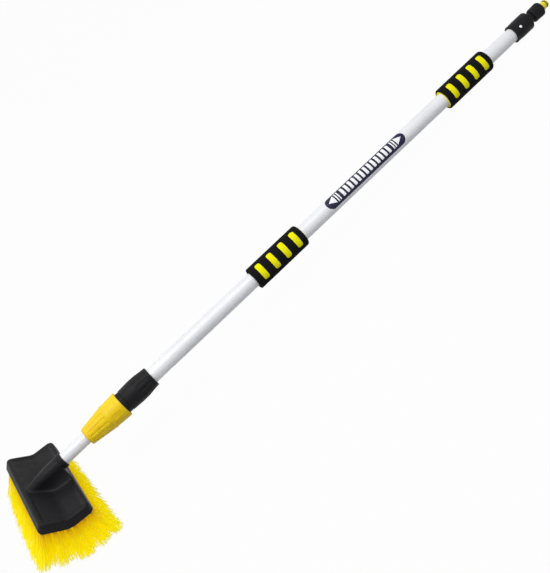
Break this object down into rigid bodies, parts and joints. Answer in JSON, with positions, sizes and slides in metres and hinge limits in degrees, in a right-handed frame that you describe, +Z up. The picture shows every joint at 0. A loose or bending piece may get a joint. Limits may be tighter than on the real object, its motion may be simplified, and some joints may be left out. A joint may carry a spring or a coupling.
{
  "type": "car wash brush",
  "caption": "Telescopic water-fed car wash brush: two-level bristle head on a sliding, swivelling pole with twist lock, foam grips and a male hose connector.",
  "frame": {"origin": "middle of the bounding box on the floor that the brush lies on, bristles down, resting on the bristles and on the hose end cap", "axes": "+X along the pole towards the hose end, +Y across the head, +Z up; the pole leans down about 4 degrees towards the hose end"},
  "size_m": [1.3478, 0.2284, 0.1194],
  "materials": {
    "black_plastic": "moulded polypropylene, satin",
    "yellow_plastic": "moulded, semi-gloss",
    "yellow_bristle": "soft flagged synthetic strands",
    "white_enamel": "gloss white powder coat on aluminium tube",
    "grey_plastic": "moulded acetal",
    "black_foam": "closed-cell foam",
    "yellow_foam": "closed-cell foam",
    "black_rubber": "nitrile rubber, smooth",
    "bare_steel": "bare rivet steel"
  },
  "bodies": {
    "outer_pole": {"lock_body": "black_plastic", "lock_collet": "grey_plastic", "outer_tube": "white_enamel", "lower_grip": "black_foam", "lower_grip_liner": "yellow_foam", "upper_grip": "black_foam", "upper_grip_liner": "yellow_foam", "end_cap": "black_plastic", "cap_rivet_upper": "bare_steel", "cap_rivet_lower": "bare_steel", "cap_seal": "black_rubber", "connector_nut": "black_plastic", "nipple_washer": "black_rubber", "hose_nipple": "yellow_plastic", "nipple_ring": "black_rubber"},
    "lock_collar": {"lock_collar": "yellow_plastic"},
    "slide_rings": {"guide_ring_front": "black_rubber", "guide_ring_rear": "black_rubber"},
    "brush_pole": {"head_cover": "black_plastic", "brush_block": "black_plastic", "bristles_front": "yellow_bristle", "bristles_rear": "yellow_bristle", "tip_insert": "grey_plastic", "tip_ring": "black_rubber", "inner_tube": "white_enamel", "guide_bush": "grey_plastic"}
  },
  "joints": [
    {"name": "collar_twist", "type": "hinge", "parent": "outer_pole", "child": "lock_collar", "pos_m": [-0.45083, 0, 0.09582], "axis": [0.9974, 0, -0.0721], "range_deg": [0, 120]},
    {"name": "telescope", "type": "slide", "parent": "outer_pole", "child": "slide_rings", "axis": [-0.9974, 0, 0.0721], "range_m": [-0.05, 0.86]},
    {"name": "pole_swivel", "type": "hinge", "parent": "slide_rings", "child": "brush_pole", "pos_m": [0.47475, 0, 0.02887], "axis": [-0.9974, 0, 0.0721], "continuous": true}
  ]
}
